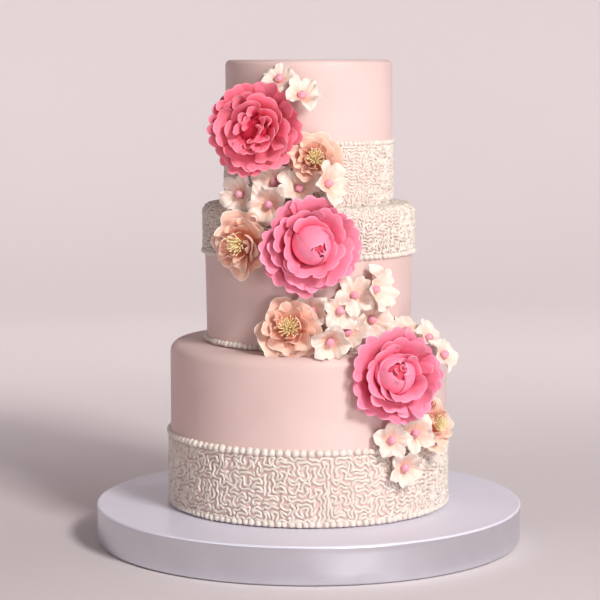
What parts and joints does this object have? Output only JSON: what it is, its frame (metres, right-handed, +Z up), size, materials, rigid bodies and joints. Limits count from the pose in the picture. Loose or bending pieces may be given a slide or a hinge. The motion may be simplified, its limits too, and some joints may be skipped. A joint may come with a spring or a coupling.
{
  "type": "tiered wedding cake",
  "caption": "Round tiered wedding cake on its stand, with blush icing, piped lace and pearls, and a cascade of pink, peach and ivory sugar flowers.",
  "frame": {"origin": "middle of the stand's underside", "axes": "+Z up, front of the cake to -Y, +X to the right seen from the front"},
  "size_m": [0.4064, 0.4064, 0.4554],
  "materials": {
    "icing": "matt blush icing",
    "stand": "pearl satin",
    "peony": "matt sugar paste",
    "open_bloom": "matt sugar paste",
    "stamens": "matt",
    "blossom": "matt sugar paste",
    "blossom_centre": "satin"
  },
  "bodies": {
    "root": {"stand": "stand", "tier_bottom": "icing", "tier_middle": "icing", "tier_top": "icing", "peony_1": "peony", "peony_2": "peony", "peony_3": "peony", "open_bloom_1": "open_bloom", "stamens_1": "stamens", "open_bloom_2": "open_bloom", "stamens_2": "stamens", "open_bloom_3": "open_bloom", "stamens_3": "stamens", "open_bloom_4": "open_bloom", "stamens_4": "stamens", "blossom_01": "blossom", "blossom_centre_01": "blossom_centre", "blossom_02": "blossom", "blossom_centre_02": "blossom_centre", "blossom_03": "blossom", "blossom_centre_03": "blossom_centre", "blossom_04": "blossom", "blossom_centre_04": "blossom_centre", "blossom_05": "blossom", "blossom_centre_05": "blossom_centre", "blossom_06": "blossom", "blossom_centre_06": "blossom_centre", "blossom_07": "blossom", "blossom_centre_07": "blossom_centre", "blossom_08": "blossom", "blossom_centre_08": "blossom_centre", "blossom_09": "blossom", "blossom_centre_09": "blossom_centre", "blossom_10": "blossom", "blossom_centre_10": "blossom_centre", "blossom_11": "blossom", "blossom_centre_11": "blossom_centre", "blossom_12": "blossom", "blossom_centre_12": "blossom_centre", "blossom_13": "blossom", "blossom_centre_13": "blossom_centre", "blossom_14": "blossom", "blossom_centre_14": "blossom_centre", "blossom_15": "blossom", "blossom_centre_15": "blossom_centre", "blossom_16": "blossom", "blossom_centre_16": "blossom_centre", "blossom_17": "blossom", "blossom_centre_17": "blossom_centre", "blossom_18": "blossom", "blossom_centre_18": "blossom_centre", "blossom_19": "blossom", "blossom_centre_19": "blossom_centre", "blossom_20": "blossom", "blossom_centre_20": "blossom_centre"}
  },
  "joints": []
}
